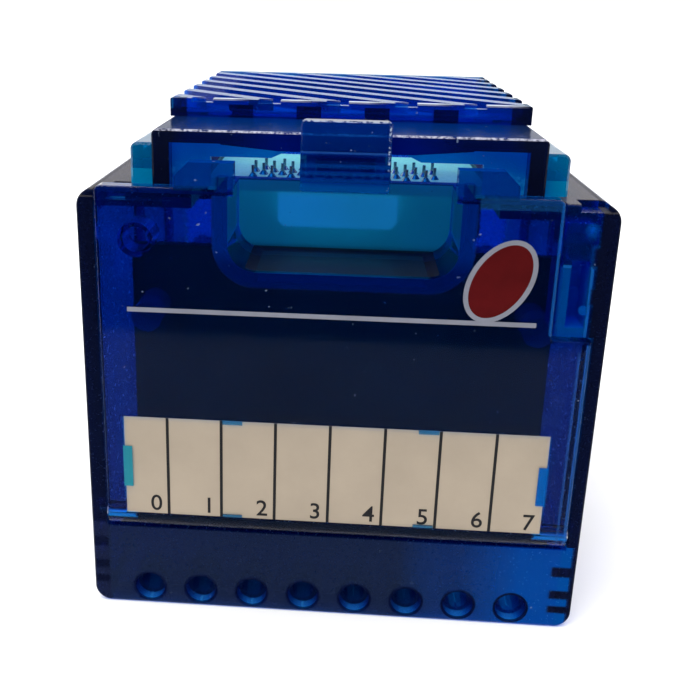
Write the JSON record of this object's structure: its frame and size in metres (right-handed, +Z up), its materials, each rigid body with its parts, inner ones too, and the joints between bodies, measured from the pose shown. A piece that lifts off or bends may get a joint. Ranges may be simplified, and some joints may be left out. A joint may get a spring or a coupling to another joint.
{
  "type": "plc module",
  "caption": "Plug-in analogue output module in translucent blue plastic, with a hinged front cover, label card, release latch, a louvred hood and rear plugs.",
  "frame": {"origin": "middle of the module's footprint, at its underside", "axes": "+Z up, +Y from the labelled front face to the rear plugs, +X to the right of a person facing the front"},
  "size_m": [0.0648, 0.071, 0.0676],
  "materials": {
    "blue_shell": "deep blue translucent plastic, satin and lightly textured outside",
    "blue_louvre": "blue translucent plastic with polished fin tops",
    "blue_arch": "blue translucent plastic, fine texture on the frame of the arch",
    "teal_lug": "clear teal-blue plastic",
    "blue_cover": "clear blue plastic, polished",
    "blue_latch": "clear blue plastic, polished edges",
    "blue_rear": "blue translucent plastic, satin",
    "steel": "zinc-plated steel",
    "solder": "bright tin",
    "board_pale": "pale green solder mask",
    "board_dark": "dark solder mask",
    "board_green": "green solder mask",
    "black_plastic": "moulded black plastic",
    "white_plastic": "moulded white plastic",
    "coil_tape": "yellow coil tape",
    "ferrite": "ground ferrite",
    "can": "drawn aluminium can",
    "gold": "gold-plated contact",
    "silver_print": "silver ink",
    "red_print": "dark red ink",
    "card": "cream card, black print"
  },
  "bodies": {
    "housing": {"housing": "blue_shell", "side_walls": "blue_shell", "corner_block": "blue_shell", "top_panel": "blue_shell", "louvre_cover": "blue_louvre", "hood": "blue_arch", "side_lugs": "teal_lug", "hinge_pins": "steel", "latch_pin": "steel", "latch_spring": "steel", "upper_board": "board_pale", "solder_joints": "solder", "socket_block": "white_plastic", "front_card": "board_dark", "card_posts": "teal_lug", "lower_board": "board_green", "board_screws": "steel", "link_header": "black_plastic", "riser_board": "board_pale", "supply_module": "black_plastic", "transformer_coil": "coil_tape", "transformer_core": "ferrite", "converter_chips": "black_plastic", "chip_legs": "solder", "couplers": "white_plastic", "capacitors": "can", "rear_plate": "blue_rear", "rear_bosses": "blue_rear", "rear_screws": "steel", "bus_plug": "black_plastic", "bus_contacts": "gold", "field_plug": "black_plastic", "field_blades": "gold"},
    "cover": {"front_cover": "blue_cover", "silver_line": "silver_print", "oval_ring": "silver_print", "oval_centre": "red_print", "label_card": "card"},
    "latch": {"release_latch": "blue_latch"}
  },
  "joints": [
    {"name": "cover_hinge", "type": "hinge", "parent": "housing", "child": "cover", "pos_m": [0, -0.0339, 0.0139], "axis": [1, 0, 0], "range_deg": [0, 100]},
    {"name": "latch_rock", "type": "hinge", "parent": "housing", "child": "latch", "pos_m": [0, -0.0276, 0.0616], "axis": [1, 0, 0], "range_deg": [0, 10], "stiffness_Nm_per_rad": 0.05, "springref_deg": -11.46}
  ]
}
